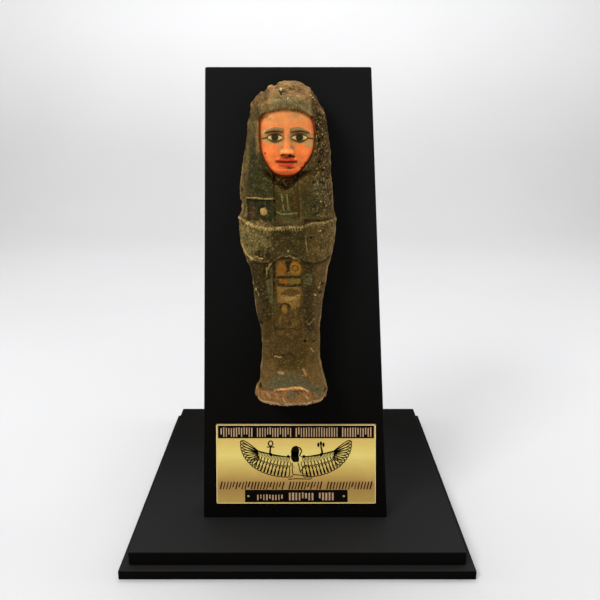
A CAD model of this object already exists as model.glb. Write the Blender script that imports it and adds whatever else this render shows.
"""Dresses the ushabti and its stand: worn paint on clay, black lacquer and etched brass."""
import math

import bpy
import numpy as np
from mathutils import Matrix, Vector


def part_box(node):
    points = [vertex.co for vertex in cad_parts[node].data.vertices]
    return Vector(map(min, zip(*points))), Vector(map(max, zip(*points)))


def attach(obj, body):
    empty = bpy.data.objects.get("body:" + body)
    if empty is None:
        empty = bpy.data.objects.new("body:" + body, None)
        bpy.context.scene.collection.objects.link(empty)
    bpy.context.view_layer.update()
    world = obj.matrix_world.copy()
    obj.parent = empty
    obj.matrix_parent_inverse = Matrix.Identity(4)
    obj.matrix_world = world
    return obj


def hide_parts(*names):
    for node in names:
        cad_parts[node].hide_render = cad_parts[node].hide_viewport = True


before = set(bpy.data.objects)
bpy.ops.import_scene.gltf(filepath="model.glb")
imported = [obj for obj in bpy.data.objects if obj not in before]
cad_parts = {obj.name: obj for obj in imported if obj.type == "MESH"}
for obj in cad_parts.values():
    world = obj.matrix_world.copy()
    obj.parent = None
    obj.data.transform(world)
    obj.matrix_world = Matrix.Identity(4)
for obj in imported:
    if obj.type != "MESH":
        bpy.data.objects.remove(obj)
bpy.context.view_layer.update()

MM = 0.001


def in_mm(node):
    """The lowest and highest corner of a CAD node, in millimetres."""
    low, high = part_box(node)
    return np.array(low) / MM, np.array(high) / MM


# ---- small functions

def ramp(a, b, t):
    """0 below a, 1 above b, and smooth between them."""
    s = np.clip((t - a) / (b - a), 0.0, 1.0)
    return s * s * (3 - 2 * s)


def band(low, high, soft, t):
    """1 between low and high, with edges of the given softness."""
    return ramp(low - soft, low + soft, t) * (1 - ramp(high - soft, high + soft, t))


def bump(t, centre, width):
    return np.exp(-(((t - centre) / width) ** 2))


def soft_max(a, b, soft):
    return (a + b + np.hypot(a - b, soft)) / 2


def through(*stations):
    """A smooth curve through (position, value) stations, level beyond the first and last."""
    at, to = np.array(stations, float).T
    slope = np.empty_like(to)
    slope[1:-1] = (to[2:] - to[:-2]) / (at[2:] - at[:-2])
    slope[[0, -1]] = (to[1] - to[0]) / (at[1] - at[0]), (to[-1] - to[-2]) / (at[-1] - at[-2])

    def curve(t):
        t = np.clip(t, at[0], at[-1])
        i = np.clip(np.searchsorted(at, t, side="right") - 1, 0, len(at) - 2)
        span = at[i + 1] - at[i]
        s = (t - at[i]) / span
        rise = to[i + 1] - to[i]
        bend = (slope[i] * span - rise) * (1 - s) - (slope[i + 1] * span - rise) * s
        return to[i] + rise * s + s * (1 - s) * bend
    return curve


def lattice(x, y, z, seed):
    """A fixed pseudo-random number from -1 to 1 at each point of a lattice of whole numbers."""
    h = (x * 73856093) ^ (y * 19349663) ^ (z * 83492791) ^ (seed * 2654435761)
    for shift, factor in ((15, 2246822519), (13, 3266489917)):
        h = h & 0xFFFFFFFF
        h = (h ^ (h >> shift)) * factor
    h = h & 0xFFFFFFFF
    return (h ^ (h >> 16)) / 0xFFFFFFFF * 2 - 1


def noise(points, size, seed):
    """Smooth noise from -1 to 1 with lumps of the given size, at an array of points."""
    q = points / size
    cell = np.floor(q).astype(np.int64)
    f = q - cell
    f = f * f * (3 - 2 * f)
    total = np.zeros(len(points))
    for corner in range(8):
        step = np.array([corner & 1, corner >> 1 & 1, corner >> 2])
        weight = np.prod(np.where(step, f, 1 - f), axis=1)
        total += weight * lattice(*(cell + step).T, seed)
    return total


def rough(points, size, seed, octaves=3):
    """Noise with finer noise on it, each octave half as large and half as strong."""
    total = np.zeros(len(points))
    for k in range(octaves):
        total += noise(points, size / 2 ** k, seed + 17 * k) / 2 ** k
    return total / (2 - 0.5 ** (octaves - 1))


# ---- flat shapes
# Each is a function of x and z that gives the distance in millimetres to a painted or carved
# edge, positive inside.

def box(left, right, bottom, top):
    return lambda x, z: np.minimum(np.minimum(x - left, right - x), np.minimum(z - bottom, top - z))


def disc(centre_x, centre_z, radius):
    return lambda x, z: radius - np.hypot(x - centre_x, z - centre_z)


def hoop(centre_x, centre_z, radius, width):
    return lambda x, z: width / 2 - np.abs(disc(centre_x, centre_z, radius)(x, z))


def oval(centre_x, centre_z, half_wide, half_high):
    def distance(x, z):
        reach = np.hypot((x - centre_x) / half_wide, (z - centre_z) / half_high)
        return (1 - reach) * min(half_wide, half_high)
    return distance


def stroke(width, *points):
    """A stroke of the given width along points (x, z)."""
    def distance(x, z):
        nearest = np.full(np.shape(x), 1e9)
        for (ax, az), (bx, bz) in zip(points, points[1:]):
            run_x, run_z = bx - ax, bz - az
            along = ((x - ax) * run_x + (z - az) * run_z) / (run_x ** 2 + run_z ** 2)
            along = np.clip(along, 0, 1)
            gap = np.hypot(x - ax - along * run_x, z - az - along * run_z)
            nearest = np.minimum(nearest, gap)
        return width / 2 - nearest
    return distance


def outline(*corners):
    """The area inside corners given clockwise or anticlockwise."""
    def distance(x, z):
        inside = np.zeros(np.shape(x), bool)
        for (ax, az), (bx, bz) in zip(corners, corners[1:] + corners[:1]):
            if az != bz:
                inside ^= ((az > z) != (bz > z)) & (x < (bx - ax) * (z - az) / (bz - az) + ax)
        edge = -stroke(0, *corners, corners[0])(x, z)
        return np.where(inside, edge, -edge)
    return distance


def either(*shapes):
    return lambda x, z: np.maximum.reduce([shape(x, z) for shape in shapes])


# ---- the figurine's form
# Its own frame, in millimetres: x to the viewer's right of its leaning middle line, z up from
# the sole, and depth forwards from its flat back.

FIGURE_X = -4.6
HEIGHT = 167.4
MIDDLE = 13.0
DOME = 148.0
CHIN, NOSE, MOUTH, EYES, BROW = 123.6, 133.4, 129.7, 141.0, 144.4
EYE_X, EYE_HALF_LENGTH, EYE_HALF_HEIGHT = 5.9, 3.8, 1.75
WIG_FOOT = 101.2
PATCH = (-20.0, -5.7, 101.0, 111.0)
STUD = (-11.6, 105.2, 2.0)
COLUMN_CENTRE, COLUMN_HALF, COLUMN_FOOT, COLUMN_HEAD = -0.8, 7.4, 42.0, 82.0

half_width = through(
    (0, 19.4), (1.5, 20.2), (5.5, 20.2), (8, 19.2), (11, 18.3), (18, 17.2), (24, 16.3), (35, 16.2),
    (41, 16.4), (47, 17.5), (57, 18.6), (69, 20.1), (74, 20.9), (79, 22.6), (85, 24.3), (93, 25.3),
    (99, 25.5), (102, 25), (105, 23.9), (115, 24), (122, 23.1), (134, 21.9), (142, 20.7), (148, 20),
)
front_depth = through(
    (0, 25.6), (1.5, 26.8), (6.5, 27), (10, 25.8), (14, 23), (18, 20.8), (23, 19.4), (31, 19.2),
    (42.5, 20.4), (57, 22.4), (71, 24.4), (78, 25.7), (85, 27.3), (93, 28.2), (97.5, 27.9),
    (101, 26.4), (104.5, 25.8), (122, 25.8), (134, 26.4), (142, 27.2), (148, 27.8),
)
lean = through(
    (0, 1), (5, 1.3), (9, 2), (18, 1.3), (36, 1.1), (50, 0.2), (72, 0.4), (86, -0.4), (104, -0.3),
    (119, -1), (138, 0), (151, -0.5), (160, -1.5), (167.4, 0.8),
)
face_half_width = through(
    (121.8, 2.4), (122.9, 4.4), (124.2, 6.2), (126, 8), (128.4, 9.8), (131, 11.3),
    (134.6, 12.6), (139, 13.3), (144, 13.3), (149, 12.8), (154, 11.8), (158, 10.6),
)
face_profile = through(
    (121.6, 19), (122.7, 24), (123.8, 27.2), (125.1, 28.9), (126.7, 29.5), (128.3, 29.3),
    (130.6, 29.7), (133.8, 29.8), (137.4, 29.5), (140.8, 29.3), (144.2, 29.8), (148, 29.5),
    (152, 28.6), (156, 26.8), (160, 24.4),
)
arms_edge = through((0, 83.8), (4, 83), (8, 80.4), (12, 79), (16, 79), (20, 80.2), (24, 83))


def fringe_edge(x):
    return 153.6 - 0.020 * x * x


def body_point(angle, z):
    """x and depth of the plain body in a direction: 0 forwards, pi backwards."""
    up = np.clip((z - DOME) / (HEIGHT - DOME), 0, 1)
    closed = np.sqrt(1 - up * up)
    forwards = np.cos(angle) > 0
    side = np.maximum(half_width(z) * closed, 1e-9)
    front = np.maximum((front_depth(z) - MIDDLE) * closed, 1e-9)
    back = np.maximum(MIDDLE * np.sqrt(closed), 1e-9)
    roundness = np.where(forwards, 2.25, 3.4)
    across = np.abs(np.sin(angle) / side) ** roundness
    along = np.abs(np.cos(angle) / np.where(forwards, front, back)) ** roundness
    reach = (across + along) ** (-1 / roundness)
    return reach * np.sin(angle), MIDDLE + reach * np.cos(angle)


def nose_height(x, z):
    along = np.clip((BROW - 1 - z) / (BROW - 2.2 - NOSE), 0, 1)
    root = 1 - ramp(BROW - 2.2, BROW + 1.2, z)
    end = ramp(NOSE - 0.7, NOSE + 1.0, z) * root
    ridge = (0.7 + 2.9 * along ** 1.25) * end
    bridge = ridge * np.exp(-((np.abs(x) / (1.2 + 0.8 * along)) ** 2.6))
    wings = 1.6 * bump(np.abs(x), 2.25, 0.85) * bump(z, NOSE + 1.2, 1.2)
    nostrils = -1.1 * bump(np.abs(x), 1.3, 0.6) * bump(z, NOSE - 0.4, 0.5)
    return bridge + wings + nostrils


def eye_reach(x, z, grow=0.0):
    """Below 1 inside the almond of the eye, which ends in a point on both sides."""
    across = np.abs(np.abs(x) - EYE_X) / (EYE_HALF_LENGTH + grow)
    lid = np.maximum(1 - across ** 1.8, 0.02)
    return np.where(across < 1, np.abs(z - EYES) / ((EYE_HALF_HEIGHT + grow) * lid), 9.0)


def brow_line(x):
    return BROW + 0.7 - 0.05 * (np.abs(x) - 5.2) ** 2


def eye_height(x, z):
    reach = eye_reach(x, z)
    ball = 0.8 * np.clip(1 - reach ** 2, 0, 1)
    lids = 0.6 * bump(reach, 1.18, 0.26) * band(1.9, 10.2, 0.5, np.abs(x))
    socket = -1.5 * bump(np.abs(x), EYE_X - 0.4, 4.6) * bump(z, EYES + 0.3, 2.8)
    crease = -0.3 * bump(z, EYES + 2.6 - 0.05 * (np.abs(x) - EYE_X) ** 2, 0.35)
    brow = 0.6 * bump(z, brow_line(x), 0.8) * band(1.7, 11.2, 0.6, np.abs(x))
    return ball + lids + socket + crease * band(2.6, 10, 0.8, np.abs(x)) + brow


def mouth_height(x, z):
    corner = 4.8
    width = np.sqrt(np.clip(1 - (x / corner) ** 2, 0, 1))
    bow = 0.22 * bump(x, 0, 0.9)
    upper = 1.15 * width * bump(z, MOUTH + 1.05 - bow, 0.75)
    lower = 1.3 * width ** 1.4 * bump(z, MOUTH - 1.15, 0.95)
    smile = MOUTH + 0.35 - 0.45 * width
    line = -0.9 * band(-corner, corner, 0.7, x) * bump(z, smile, 0.34)
    corners = -0.4 * bump(np.abs(x), corner + 0.2, 0.8) * bump(z, MOUTH, 0.9)
    groove = -0.25 * bump(x, 0, 0.65) * band(MOUTH + 1.8, NOSE - 0.4, 0.5, z)
    under = -0.35 * bump(x, 0, 3.4) * bump(z, MOUTH - 2.9, 0.7)
    chin = 0.8 * bump(z, CHIN + 2.7, 1.6) * bump(x, 0, 3.4)
    return upper + lower + line + corners + groove + under + chin


def face_depth(x, z):
    share = np.minimum(1, np.abs(x) / face_half_width(z))
    cheeks = 0.55 * bump(np.abs(x), 7.6, 3.0) * bump(z, 134.4, 3.6)
    mask = face_profile(z) - 6.6 * (1 - np.sqrt(1 - 0.97 * share ** 2.3))
    return mask + cheeks + nose_height(x, z) + eye_height(x, z) + mouth_height(x, z)


def in_face(x, z):
    inside = ramp(-0.6, 0.4, face_half_width(z) - np.abs(x))
    return inside * ramp(-0.5, 0.5, fringe_edge(x) - z) * ramp(CHIN - 2.2, CHIN - 1.2, z)


def wig_height(x, z):
    inner = soft_max(6.2, face_half_width(z) * ramp(120, 124, z), 1)
    beside = ramp(-0.5, 0.5, np.abs(x - 0.2 * (1 - ramp(112, 126, z))) - inner)
    above = ramp(-0.4, 0.4, z - fringe_edge(x))
    fringe = 0.45 * ramp(-0.3, 0.3, z - fringe_edge(x)) * (1 - ramp(160, 162, z))
    ends = ramp(-0.8, 0.8, z - WIG_FOOT) * (1 - ramp(158, 165, z))
    return 1.1 * np.maximum(beside, above) * ends + fringe * band(-13, 12, 1.5, x)


def neck_height(x, z):
    side = 1.2 * (z - 114) - np.abs(x)
    return -2.4 * ramp(-0.6, 3.6, side) * (1 - ramp(122, 126, z))


def patch_height(x, z):
    inside = ramp(-0.4, 0.4, box(*PATCH)(x, z))
    lip = 0.35 * bump(z, PATCH[3] + 0.6, 0.5) * band(PATCH[0], PATCH[1], 0.5, x)
    return inside * (0.5 * ramp(-0.3, 0.5, disc(*STUD)(x, z)) - 0.75) + lip


def arms_height(x, z):
    over = z - arms_edge(np.abs(x))
    return 1.1 * ramp(-0.5, 0.6, over) * (1 - ramp(3, 12, over))


def column_arch(x):
    return COLUMN_HEAD - 2.6 * ((x - COLUMN_CENTRE) / COLUMN_HALF) ** 2


def column_height(x, z):
    across = ramp(-0.4, 0.4, COLUMN_HALF - np.abs(x - COLUMN_CENTRE))
    up = ramp(COLUMN_FOOT - 3, COLUMN_FOOT, z) * ramp(-0.4, 0.4, column_arch(x) - z)
    return -0.7 * across * up


def toe_height(x, z):
    flats = 0.8 * bump(x, -9, 5) + 1.1 * bump(x, 3.5, 3.4) + 0.7 * bump(x, 13, 3.6)
    return -flats * (1 - ramp(8.6, 10.0, z))


def carved_depth(x, depth, z):
    """The depth of the carved front where the plain body has the given depth."""
    carving = wig_height(x, z) + neck_height(x, z) + patch_height(x, z)
    carving += arms_height(x, z) + column_height(x, z) + toe_height(x, z)
    wrapped = depth + carving
    face = soft_max(wrapped - 1.1, face_depth(x, z), 0.3)
    return wrapped + (face - wrapped) * in_face(x, z)


# ---- wear and breaks of the surface
# (x, z, radius, depth): small hollows; the breaks and cracks run along points (x, z).

PITS = (
    (-1.4, 162.2, 1.6, 1.0), (12.4, 150.2, 0.7, 0.5), (16.2, 147.0, 0.9, 0.6), (14.6, 144.6, 0.8, 0.6),
    (17.6, 141.4, 0.9, 0.6), (15.4, 139.6, 1.1, 0.7), (18.8, 137.0, 0.9, 0.5), (16.6, 134.2, 1.4, 0.9),
    (19.4, 131.0, 0.9, 0.5), (16.0, 129.2, 1.0, 0.5), (18.2, 125.2, 1.0, 0.6), (20.4, 121.2, 1.1, 0.6),
    (17.2, 119.4, 0.8, 0.5), (19.8, 115.8, 1.0, 0.5), (7.7, 34.9, 1.0, 1.0), (12.7, 34.3, 0.8, 0.8),
    (-12.4, 73.6, 0.9, 0.5), (-14.2, 84.6, 1.1, 0.6), (-9.4, 86.4, 1.0, 0.5), (12.2, 92.4, 0.9, 0.5),
    (-16.0, 61.9, 0.7, 0.5), (17.2, 86.2, 1.0, 0.4), (-10.5, 58.4, 0.7, 0.5), (0.2, 45.2, 0.9, 0.4),
)
EDGE_CHIPS = (
    (-22.0, 156.6, 2.4, 1.3), (-16.4, 161.6, 1.9, 1.5), (-11.0, 164.4, 1.8, 1.3), (-6.4, 166.0, 1.4, 1.0),
    (19.6, 155.0, 1.8, 0.7), (-20.8, 143.8, 1.6, 0.6), (-23.6, 115.4, 2.4, 0.9), (-24.4, 108.6, 1.6, 0.7),
    (-25.0, 84.6, 2.4, 0.8), (-22.2, 80.0, 1.8, 0.9), (24.0, 121.0, 2.0, 0.6), (24.6, 104.8, 1.6, 0.7),
    (-18.6, 64.4, 1.3, 0.6), (-17.0, 61.0, 1.4, 0.6), (17.8, 66.4, 1.3, 0.5), (16.9, 61.6, 1.6, 0.5),
    (-15.2, 44.4, 1.4, 0.6), (-18.4, 9.4, 2.0, 0.8), (19.0, 6.2, 1.8, 0.6), (-16.6, 14.0, 1.2, 0.4),
)
CRACK = ((-8.7, 26.7), (-5.8, 26.3), (-2.9, 27.0), (-0.7, 27.9), (1.4, 26.2), (3.4, 25.0))
SIDE_CRACK = ((4.6, 28.6), (7.0, 30.8), (8.4, 33.4))
TOE_BREAK = (
    (-20.5, 6.2), (-19.1, 6.6), (-11.5, 8.6), (-5.0, 10.2), (4.0, 10.9), (9.7, 8.2), (16.4, 6.0),
    (20.5, 5.6),
)
LEDGE = (
    (-25.0, 101.4), (-19.5, 99.4), (-14.4, 97.8), (-9.3, 97.3), (-2.7, 97.8), (4.0, 98.3), (8.3, 98.2),
    (12.3, 99.6), (17.4, 99.6), (25.0, 100.6),
)
V_SCRATCH = ((9.0, 46.4), (10.2, 44.0), (13.7, 47.1))

ledge_line = through(*LEDGE)
break_line = through(*TOE_BREAK)


def crumbling(x, z):
    """How rough the surface is, from 0 on smooth paint to 1 on bare, crumbling clay."""
    right_wig = ramp(11, 15, x) * band(102, 158, 3, z)
    crown = 0.75 * ramp(158, 163, z)
    left_arm = 0.85 * ramp(-4, -10, x) * band(79, 100, 2, z)
    right_arm = 0.6 * ramp(8, 16, x) * band(79, 102, 3, z)
    toes = 0.5 * ramp(0, 1.2, break_line(x) - z)
    ledge = 0.95 * band(97, 101.5, 0.8, z) * ramp(-5, -8, x)
    fringe = 0.5 * ramp(152, 156, z)
    rest = 0.3 * (1 - in_face(x, z))
    return np.maximum.reduce([right_wig, crown, left_arm, right_arm, toes, ledge, fringe, rest])


def side_share(x, z):
    return np.abs(x) / np.maximum(half_width(z), 1)


def towards_side(x, z, front):
    """0 on the front, rising to 1 at its sides, and 1 on the back."""
    return np.where(front, ramp(0.55, 0.95, side_share(x, z)), 1)


def crumbled(points, x, z, side):
    """Lumps and hollows of the weathered clay, strongest on the crown and the sides."""
    crumb, crown = crumbling(x, z), ramp(156, 163, z)
    height = 0.42 * crumb * rough(points, 1.8, 11) + 0.16 * crumb * rough(points, 0.8, 12, 2)
    height += 0.5 * crown * side * rough(points, 1.5, 24)
    wig_side = ramp(0.9, 1.0, side) * ramp(-16, -19, x) * band(104, 152, 3, z)
    height += 0.5 * wig_side * rough(points, 1.3, 25)
    height += (0.30 * side + 0.45 * crown) * rough(points, 3.4, 13) + 0.12 * rough(points, 6.0, 14)
    height -= 0.34 * crumb * ramp(0.34, 0.80, noise(points, 2.3, 15))
    height -= 0.5 * crown * side * ramp(0.0, 0.5, noise(points, 4.5, 21))
    height += 0.32 * side * ramp(100, 104, z) * rough(points, 1.7, 22)
    chipped = ramp(-6, -12, x) * band(150, 165, 3, z)
    return height - 1.3 * chipped * (0.8 + 0.5 * noise(points, 3.2, 23))


def broken(points, x, z):
    """Pits, chips, cracks, the torn ledge and the ridged breaks of the toes, all at the front."""
    height = np.zeros(len(points))
    uneven = 1 + 0.3 * noise(points, 1.1, 16)
    for centre_x, centre_z, radius, depth in PITS + EDGE_CHIPS:
        away = np.hypot(x - centre_x, z - centre_z) * uneven
        height -= depth * (1 - ramp(0.35, 1.0, away / radius))
    jitter = 0.35 * rough(points, 1.6, 18)
    for depth, width, line in ((0.32, 0.45, CRACK), (0.14, 0.3, SIDE_CRACK)):
        height -= depth * ramp(-0.5, 0.2, stroke(width, *line)(x, z) + 0.5 * jitter)
    height -= 0.22 * ramp(-0.25, 0.1, stroke(0.4, *V_SCRATCH)(x, z) + 0.2 * jitter)
    ledge = band(-1.6, 0.2, 0.5, z - ledge_line(x) + jitter)
    height += 0.55 * ledge * (1 - 0.6 * ramp(-4, 6, x))
    turned = np.column_stack([(x + 0.8 * z) / 0.8, (z - 0.6 * x) / 3.5, points[:, 1] / 4])
    ridges = 0.35 * noise(turned, 1.0, 20) - 0.25
    return height + ridges * ramp(0, 0.8, break_line(x) - z + jitter)


def wear(points, x, z, front):
    """How far the weathered surface stands outside the smooth one, in millimetres."""
    height = crumbled(points, x, z, towards_side(x, z, front)) + front * broken(points, x, z)
    strands = noise(np.column_stack([x / 0.9, points[:, 1] / 9, z / 9]), 1.0, 19)
    return height + 0.12 * strands * ramp(-12, -15, x) * band(106, 158, 4, z)


def trimmed(x, z, front):
    """How far the sides, the crown's shoulders and the foot's corners stand inside the plain form."""
    corner = front * ramp(4.0, 0.5, z) * ramp(0.6, 1.0, side_share(x, z))
    return (0.5 + 0.6 * ramp(160, 164, z)) * towards_side(x, z, front) + 1.8 * corner


# ---- the figurine's skin as a mesh

AROUND = 264      # points in a ring
BACK_GAP = 0.02   # the least depth of the worn skin, whose back is flat against the board


def ring_heights():
    """Heights of the rings, closest over the face, and how far each is drawn in."""
    spans = ((0.0, 12.0, 0.42), (12.0, 96.0, 0.58), (96.0, 118.0, 0.46), (118.0, DOME, 0.36))
    heights, shares = [0.0, 0.0, 0.0], [0.35, 0.7, 0.93]
    for low, high, step in spans:
        inner = np.linspace(low, high, round((high - low) / step), endpoint=False)
        heights += list(inner)
        shares += [1.0] * len(inner)
    for turn in np.linspace(0, math.pi / 2, 66, endpoint=False):
        heights.append(DOME + (HEIGHT - DOME) * math.sin(turn))
        shares.append(1.0)
    return np.array(heights), np.array(shares)


def grid_normals(grid):
    """Unit normals of a closed grid of points, rings by steps around."""
    around = np.roll(grid, -1, axis=1) - np.roll(grid, 1, axis=1)
    upwards = np.gradient(grid, axis=0)
    out = np.cross(around, upwards)
    return out / np.maximum(np.linalg.norm(out, axis=2, keepdims=True), 1e-9)


def blurred(grid, reach):
    """A grid's mean over a window of neighbours, wrapped around the figure."""
    total = np.zeros_like(grid)
    for step in range(-reach, reach + 1):
        total += np.roll(grid, step, axis=1)
    wide = total / (2 * reach + 1)
    padded = np.pad(wide, ((reach, reach), (0, 0)), mode="edge")
    rows = len(grid)
    return sum(padded[step:step + rows] for step in range(2 * reach + 1)) / (2 * reach + 1)


def skin_grid():
    """The weathered skin, ring by ring, and for each point: its x and z on the plain figure, whether
    it is at the front, how far wear moved it and how deep it lies among its neighbours."""
    heights, shares = ring_heights()
    share = np.arange(AROUND) / AROUND * 2 - 1
    angle, z = np.meshgrid(math.pi * (0.44 * share + 0.56 * share ** 3), heights)
    x, depth = body_point(angle, z)
    carving = (carved_depth(x, depth, z) - depth) * ramp(0.0, 0.35, np.cos(angle))
    inwards = shares[:, None]
    smooth = np.stack([x * inwards, MIDDLE + (depth + carving - MIDDLE) * inwards, z], axis=2)
    normals = -grid_normals(smooth).reshape(-1, 3)
    flat = smooth.reshape(-1, 3)
    x, z, front = x.ravel(), z.ravel(), np.cos(angle).ravel() > 0
    free = ramp(0.3, 2.5, flat[:, 1]) * np.repeat(shares == 1, AROUND)
    offset = free * wear(flat, x, z, front)
    worn = flat + normals * (offset - free * trimmed(x, z, front))[:, None]
    worn[:, 1] = np.maximum(worn[:, 1], BACK_GAP)
    worn[:, 2] = np.clip(worn[:, 2], 0, HEIGHT)
    relief = carving + offset.reshape(carving.shape)
    cavity = relief - 0.5 * blurred(relief, 3) - 0.5 * blurred(relief, 6)
    return worn, x, z, front, offset, cavity.ravel(), len(heights)


def skin_faces(rings):
    """Quads between the rings, and fans that close the sole and the crown."""
    ring, step = np.meshgrid(np.arange(rings - 1), np.arange(AROUND), indexing="ij")
    here = ring * AROUND + step
    beside = ring * AROUND + (step + 1) % AROUND
    quads = np.stack([here, here + AROUND, beside + AROUND, beside], axis=2).reshape(-1, 4)
    faces = [tuple(map(int, quad)) for quad in quads]
    sole, crown = rings * AROUND, rings * AROUND + 1
    last = (rings - 1) * AROUND
    for k in range(AROUND):
        after = (k + 1) % AROUND
        faces.append((k, after, sole))
        faces.append((last + after, last + k, crown))
    return faces


def figurine_skin():
    """The skin's grid with a middle point in the sole and in the crown, and its faces."""
    worn, x, z, front, offset, cavity, rings = skin_grid()
    points = np.concatenate([worn, [[0, MIDDLE, 0], [0, MIDDLE, HEIGHT]]])
    x, z, front = np.append(x, [0, 0]), np.append(z, [0, HEIGHT]), np.append(front, [False, False])
    offset, cavity = np.append(offset, [0, 0]), np.append(cavity, [0, 0])
    return points, x, z, front, offset, cavity, skin_faces(rings)


# ---- the ground colours of the skin

LIGHT_GAIN = np.array((0.92, 0.88, 0.80))
SHEEN = np.array((0.0038, 0.0046, 0.0034))
DARKEST = np.array((0.0058, 0.0042, 0.0014))
BACK_TONE = (88, 68, 40)
DARKEST_SHADE = 0.34      # of a tone, in the deepest mottling


def linear(*rgb):
    """Scene colour of an 8-bit display colour."""
    c = np.array(rgb) / 255
    return np.where(c <= 0.04045, c / 12.92, ((c + 0.055) / 1.055) ** 2.4)


def paint(*rgb):
    """Albedo that shows as a display colour under the studio's light and its faint sheen."""
    return np.maximum(linear(*rgb) * LIGHT_GAIN - SHEEN, DARKEST)


def body_zones(x, z):
    """Display colour and extent of each zone below the chest, each laid over the ones before."""
    edge = np.abs(x) / half_width(z)
    arms = band(79.5, 100, 1.5, z)
    legs = band(20, 79, 3, z)
    return (
        ((76, 58, 31), np.ones_like(x)),
        ((48, 40, 21), ramp(-7.5, -10.5, x) * band(46, 80, 3, z)),
        ((52, 44, 26), ramp(6.5, 9, x) * band(40, 80, 3, z)),
        ((81, 63, 36), ramp(11.5, 14.5, x) * legs),
        ((66, 54, 34), ramp(-14, -16.5, x) * band(24, 62, 4, z)),
        ((96, 72, 41), 1 - ramp(19, 27, z)),
        ((68, 54, 29), band(-8, 8, 2, x) * band(19, 30, 3, z)),
        ((56, 49, 28), arms),
        ((98, 86, 51), arms * ramp(-6, -11, x)),
        ((48, 41, 23), arms * band(-18, -7, 2, x) * (1 - ramp(83, 89, z))),
        ((80, 65, 37), arms * ramp(7, 13, x)),
        ((104, 86, 52), band(97.2, 101, 0.7, z) * ramp(-8, -12, x)),
        ((132, 103, 68), band(78, 86, 1.5, z) * ramp(0.86, 1.0, edge) * ramp(-8, -12, x)),
    )


def bust_zones(x, z):
    """The zones of the chest and the wig's sides."""
    bust = ramp(99, 102, z)
    wig = ramp(118, 126, z)
    return (
        ((70, 58, 32), bust),
        ((76, 66, 38), band(99, 102.6, 0.6, z) * band(-5, 9, 2, x)),
        ((55, 53, 30), bust * band(7.5, 17, 1.5, x) * band(101, 113, 3, z)),
        ((63, 51, 28), bust * ramp(14, 19, x) * (1 - wig)),
        ((50, 49, 29), bust * ramp(-5.5, -6.5, x) * (1 - ramp(136, 150, z))),
        ((78, 64, 37), bust * ramp(-18.5, -21, x) * (1 - ramp(122, 126, z))),
        ((84, 72, 42), ramp(-12, -14, x) * ramp(134, 146, z)),
        ((84, 70, 40), ramp(-17.8, -19.6, x) * ramp(119, 123, z)),
        ((50, 39, 20), bust * ramp(13, 15, x) * wig),
        ((60, 46, 25), ramp(17, 20, x) * wig),
        ((50, 38, 20), ramp(11, 13.5, x) * band(146, 158, 3, z) * ramp(17, 15, x)),
        ((44, 34, 15), ramp(0.5, 2.5, 1.15 * (z - 113) - np.abs(x)) * band(112, 126, 1, z)),
        ((64, 52, 26), band(-6, 6.4, 0.7, x) * band(102.5, 114, 1.5, z)),
        ((118, 86, 50), band(-15.6, -13.2, 0.6, x) * band(134, 150, 2, z)),
    )


def crown_zones(x, z):
    """The zones of the fringe, the crown and the figure's outer edge."""
    edge = np.abs(x) / half_width(z)
    return (
        ((122, 98, 60), ramp(-9, -13, x) * ramp(149, 154, z)),
        ((104, 90, 58), ramp(152, 155, z) * ramp(14.5, 11.5, x)),
        ((130, 107, 70), band(-13, 13, 2, x) * ramp(-0.4, 0.6, z - fringe_edge(x)) * ramp(162, 158, z)),
        ((96, 86, 59), bump(x, 3, 9) * bump(z, 156.4, 2.0)),
        ((178, 136, 84), bump(x, -10.5, 4) * bump(z, 156.8, 3.2)),
        ((138, 116, 78), bump(x, 4.5, 3.2) * bump(z, 159.0, 1.5)),
        ((118, 98, 64), bump(x, -3.5, 3) * bump(z, 155.6, 1.4)),
        ((150, 134, 98), 0.8 * bump(z + 0.03 * x * x, 158.8, 0.5) * bump(x, -2, 4.5)),
        ((144, 126, 88), 0.7 * bump(z + 0.03 * x * x, 157.0, 0.45) * bump(x, 5, 3.5)),
        ((68, 50, 28), 0.9 * bump(z - fringe_edge(x), 0.3, 1.2) * band(-12.5, 11.5, 1, x)),
        ((92, 84, 60), 0.5 * bump(x, -6, 5) * bump(z - fringe_edge(x), 3.2, 1.6)),
        ((142, 106, 68), ramp(160.2, 161.6, z + 0.025 * x * x)),
        ((116, 84, 52), bump(x, 4, 4) * bump(z, 163.5, 1.8)),
        ((74, 58, 34), ramp(11.5, 14, x) * ramp(152, 157, z)),
        ((150, 122, 82), ramp(0.93, 1.0, edge) * ramp(150, 156, z)),
        ((128, 104, 70), 0.8 * ramp(0.95, 1.0, edge) * (1 - ramp(120, 150, z))),
        ((88, 84, 60), 0.6 * bump(x, 16, 3) * bump(z, 117, 4)),
    )


FACE_TONES = {
    "forehead": (214, 138, 82), "cheek": (224, 118, 62), "side": (176, 78, 40), "jaw": (186, 84, 44),
    "nose": (220, 132, 74),
}


def face_colour(points, x, z):
    """The red-ochre paint of the face, darker round its rim and towards the jaw."""
    share = np.abs(x) / face_half_width(z)
    colour = np.broadcast_to(paint(*FACE_TONES["cheek"]), (len(x), 3)).copy()
    for name, weight in (
        ("forehead", ramp(141, 150, z)),
        ("jaw", 1 - ramp(123.5, 131, z)),
        ("side", 0.8 * ramp(0.72, 1.0, share)),
        ("nose", bump(x, 0, 2.2) * band(133, 146, 2, z)),
    ):
        colour += (paint(*FACE_TONES[name]) - colour) * weight[:, None]
    return colour * (1 + 0.16 * rough(points, 4, 31) + 0.10 * rough(points, 1.2, 32))[:, None]


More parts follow.
